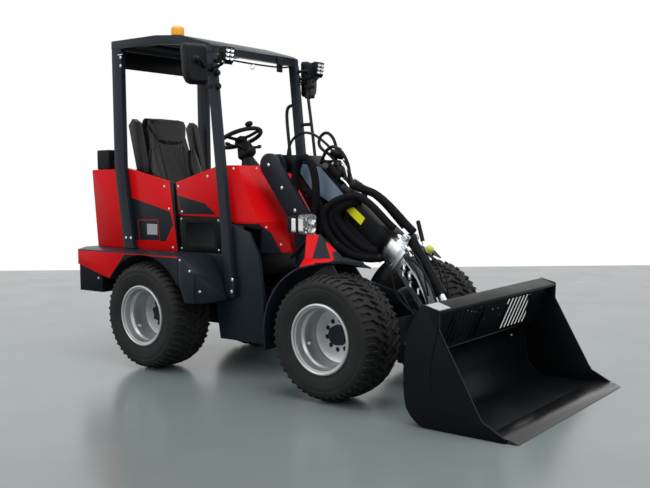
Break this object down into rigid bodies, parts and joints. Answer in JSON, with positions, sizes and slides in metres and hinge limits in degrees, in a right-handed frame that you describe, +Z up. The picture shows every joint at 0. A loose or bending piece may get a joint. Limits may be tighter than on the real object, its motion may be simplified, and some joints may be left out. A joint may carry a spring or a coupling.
{
  "type": "compact articulated wheel loader",
  "caption": "Small articulated loader with an open canopy over the driver's seat, a telescopic boom on a front tower and a wide tilting bucket.",
  "frame": {"origin": "on the ground under the middle of the machine's bounding box", "axes": "+X towards the bucket, +Y to the driver's left, +Z up"},
  "size_m": [3.668, 1.486, 2.3748],
  "materials": {
    "red_paint": "gloss",
    "dark_paint": "satin",
    "black_paint": "satin",
    "silver_paint": "satin",
    "zinc_steel": "satin",
    "rod_chrome": "polished",
    "tyre_rubber": "matte",
    "black_plastic": "matte",
    "seat_vinyl": "satin",
    "hose_rubber": "matte",
    "lamp_lens": "gloss",
    "amber_lens": "gloss",
    "cast_dark": "satin",
    "edge_steel": "satin"
  },
  "bodies": {
    "rear_frame": {"rear_chassis": "dark_paint", "power_block": "black_paint", "rear_axle": "dark_paint", "rear_wings": "red_paint", "rear_counterweight": "cast_dark", "wing_flares": "dark_paint", "rear_hood": "red_paint", "side_panels": "red_paint", "storage_box_right": "black_paint", "lower_body": "dark_paint", "floor_plate": "black_paint", "seat_base": "black_plastic", "seat_cushion": "seat_vinyl", "seat_backrest": "seat_vinyl", "seat_armrests": "seat_vinyl", "steering_column": "black_plastic", "front_cowl": "red_paint", "rear_posts": "dark_paint", "front_posts": "dark_paint", "canopy_roof": "dark_paint", "rear_visor": "black_paint", "mirrors": "black_plastic", "work_lamps": "lamp_lens", "beacon": "amber_lens", "grab_rails": "dark_paint", "air_box": "black_plastic"},
    "steering_wheel": {"steering_wheel": "black_plastic"},
    "front_frame": {"front_chassis": "dark_paint", "boom_tower": "dark_paint", "front_axle": "dark_paint", "front_fenders": "dark_paint", "tower_covers": "dark_paint", "headlamps": "lamp_lens"},
    "boom": {"boom_outer": "black_paint", "boom_wear_pads": "black_plastic", "boom_hoses": "hose_rubber"},
    "inner_boom": {"boom_inner": "zinc_steel", "hydraulic_coupler": "zinc_steel"},
    "tool": {"tool_carrier": "black_paint", "bucket": "black_paint", "bucket_edge": "edge_steel"},
    "lift_barrel": {"lift_barrel": "black_paint"},
    "lift_rod": {"lift_rod": "rod_chrome"},
    "tilt_barrel": {"tilt_barrel": "black_paint"},
    "tilt_rod": {"tilt_rod": "rod_chrome"},
    "steer_barrel": {"steer_barrel": "black_paint"},
    "steer_rod": {"steer_rod": "rod_chrome"},
    "wheel_front_right": {"tyre_front_right": "tyre_rubber", "rim_front_right": "silver_paint"},
    "wheel_front_left": {"tyre_front_left": "tyre_rubber", "rim_front_left": "silver_paint"},
    "wheel_rear_right": {"tyre_rear_right": "tyre_rubber", "rim_rear_right": "silver_paint"},
    "wheel_rear_left": {"tyre_rear_left": "tyre_rubber", "rim_rear_left": "silver_paint"}
  },
  "joints": [
    {"name": "articulation", "type": "hinge", "parent": "rear_frame", "child": "front_frame", "pos_m": [-0.1965, 0, 0.372], "axis": [0, 0, 1], "range_deg": [-40, 40]},
    {"name": "boom_lift", "type": "hinge", "parent": "front_frame", "child": "boom", "pos_m": [-0.214, 0, 1.39], "axis": [0, -1, 0], "range_deg": [0, 75]},
    {"name": "telescope", "type": "slide", "parent": "boom", "child": "inner_boom", "axis": [0.788, 0, -0.6157], "range_m": [0, 0.6]},
    {"name": "tilt", "type": "hinge", "parent": "inner_boom", "child": "tool", "pos_m": [1.01418, 0, 0.28196], "axis": [0, 1, 0], "range_deg": [-40, 85]},
    {"name": "steering_wheel_turn", "type": "hinge", "parent": "rear_frame", "child": "steering_wheel", "pos_m": [-0.649, 0, 1.59], "axis": [-0.4067, 0, 0.9135], "continuous": true},
    {"name": "lift_barrel_swing", "type": "hinge", "parent": "front_frame", "child": "lift_barrel", "pos_m": [0.201, 0, 0.452], "axis": [0, -1, 0], "range_deg": [-8.48, 1]},
    {"name": "lift_rod_slide", "type": "slide", "parent": "lift_barrel", "child": "lift_rod", "axis": [-0.2386, 0, 0.9711], "range_m": [-0.004, 0.3404]},
    {"name": "tilt_barrel_swing", "type": "hinge", "parent": "inner_boom", "child": "tilt_barrel", "pos_m": [0.77063, 0, 0.92529], "axis": [0, 1, 0], "range_deg": [-1.11, 1.24]},
    {"name": "tilt_rod_slide", "type": "slide", "parent": "tilt_barrel", "child": "tilt_rod", "axis": [0.5434, 0, -0.8395], "range_m": [-0.0849, 0.1759]},
    {"name": "steer_barrel_swing", "type": "hinge", "parent": "rear_frame", "child": "steer_barrel", "pos_m": [-0.5815, -0.204, 0.545], "axis": [0, 0, 1], "range_deg": [-17.44, 17.44]},
    {"name": "steer_rod_slide", "type": "slide", "parent": "steer_barrel", "child": "steer_rod", "axis": [1, 0, 0], "range_m": [-0.1444, 0.1444]},
    {"name": "wheel_front_right_turn", "type": "hinge", "parent": "front_frame", "child": "wheel_front_right", "pos_m": [0.576, -0.511, 0.372], "axis": [0, 1, 0], "continuous": true},
    {"name": "wheel_front_left_turn", "type": "hinge", "parent": "front_frame", "child": "wheel_front_left", "pos_m": [0.576, 0.511, 0.372], "axis": [0, 1, 0], "continuous": true},
    {"name": "wheel_rear_right_turn", "type": "hinge", "parent": "rear_frame", "child": "wheel_rear_right", "pos_m": [-0.969, -0.511, 0.372], "axis": [0, 1, 0], "continuous": true},
    {"name": "wheel_rear_left_turn", "type": "hinge", "parent": "rear_frame", "child": "wheel_rear_left", "pos_m": [-0.969, 0.511, 0.372], "axis": [0, 1, 0], "continuous": true}
  ],
  "couplings": [
    {"joint": "lift_barrel_swing", "follows": "boom_lift", "ratio": -0.09975},
    {"joint": "lift_rod_slide", "follows": "boom_lift", "m_per_rad": 0.25701},
    {"joint": "tilt_barrel_swing", "follows": "tilt", "ratio": 0.00287},
    {"joint": "tilt_rod_slide", "follows": "tilt", "m_per_rad": 0.11588},
    {"joint": "steer_barrel_swing", "follows": "articulation", "ratio": 0.41088},
    {"joint": "steer_rod_slide", "follows": "articulation", "m_per_rad": 0.20115}
  ]
}
